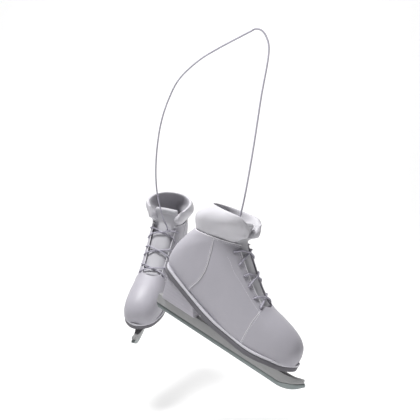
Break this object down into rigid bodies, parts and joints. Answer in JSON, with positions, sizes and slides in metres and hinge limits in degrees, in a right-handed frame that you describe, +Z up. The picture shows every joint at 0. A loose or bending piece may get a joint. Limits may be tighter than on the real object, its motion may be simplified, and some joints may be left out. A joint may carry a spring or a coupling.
{
  "type": "pair of ice skates",
  "caption": "Low white leather ice skates with padded cuffs, laced fronts and steel runners, hung as a pair from one shared lace.",
  "frame": {"origin": "the top of the shared lace, where the pair hangs", "axes": "+Z up along the hanging direction, +X to the right and +Y away when the right skate is seen from its outer side"},
  "size_m": [0.3232, 0.4319, 0.6026],
  "materials": {
    "white_leather": "smooth white leather, softly shining",
    "padded_leather": "soft padded white leather",
    "tongue_leather": "soft white leather over felt",
    "footbed": "matt woven lining",
    "welt": "pale welt strip",
    "sole_rubber": "dark grey satin sole edge",
    "heel_stack": "grey stacked heel",
    "chassis_metal": "satin light grey",
    "runner_steel": "ground cool grey steel",
    "lace_cotton": "braided lavender grey lace"
  },
  "bodies": {
    "lace": {"free_lace": "lace_cotton"},
    "right_knot": {"right_lace_knot": "lace_cotton"},
    "right_skate": {"right_vamp": "white_leather", "right_heel_counter": "white_leather", "right_quarter_inner": "white_leather", "right_quarter_outer": "white_leather", "right_cuff": "padded_leather", "right_tongue": "tongue_leather", "right_insole": "footbed", "right_welt": "welt", "right_outsole": "sole_rubber", "right_heel_lift": "welt", "right_heel_block": "heel_stack", "right_ball_block": "sole_rubber", "right_blade_chassis": "chassis_metal", "right_blade_runner": "runner_steel", "right_lacing": "lace_cotton"},
    "right_tongue_top": {"right_tongue_tip": "tongue_leather"},
    "left_knot": {"left_lace_knot": "lace_cotton"},
    "left_skate": {"left_vamp": "white_leather", "left_heel_counter": "white_leather", "left_quarter_inner": "white_leather", "left_quarter_outer": "white_leather", "left_cuff": "padded_leather", "left_tongue": "tongue_leather", "left_insole": "footbed", "left_welt": "welt", "left_outsole": "sole_rubber", "left_heel_lift": "welt", "left_heel_block": "heel_stack", "left_ball_block": "sole_rubber", "left_blade_chassis": "chassis_metal", "left_blade_runner": "runner_steel", "left_lacing": "lace_cotton"},
    "left_tongue_top": {"left_tongue_tip": "tongue_leather"}
  },
  "joints": [
    {"name": "right_twist", "type": "hinge", "parent": "lace", "child": "right_knot", "pos_m": [-0.0413, -0.0129, -0.3731], "axis": [0, 0, 1], "range_deg": [-15, 15]},
    {"name": "right_swing", "type": "hinge", "parent": "right_knot", "child": "right_skate", "pos_m": [-0.0413, -0.0129, -0.3731], "axis": [0.4103, 0.9113, -0.0345], "range_deg": [-16, 10]},
    {"name": "right_tongue_fold", "type": "hinge", "parent": "right_skate", "child": "right_tongue_top", "pos_m": [-0.02472, -0.02253, -0.37519], "axis": [0.4103, 0.9113, -0.0345], "range_deg": [-4, 28], "stiffness_Nm_per_rad": 0.05},
    {"name": "left_twist", "type": "hinge", "parent": "lace", "child": "left_knot", "pos_m": [-0.1652, 0.1628, -0.3576], "axis": [0, 0, 1], "range_deg": [-12, 6]},
    {"name": "left_swing", "type": "hinge", "parent": "left_knot", "child": "left_skate", "pos_m": [-0.1652, 0.1628, -0.3576], "axis": [0.9767, -0.1214, -0.1769], "range_deg": [-12, 6]},
    {"name": "left_tongue_fold", "type": "hinge", "parent": "left_skate", "child": "left_tongue_top", "pos_m": [-0.17357, 0.18154, -0.34825], "axis": [0.9767, -0.1214, -0.1769], "range_deg": [-12, 0], "stiffness_Nm_per_rad": 0.05}
  ]
}
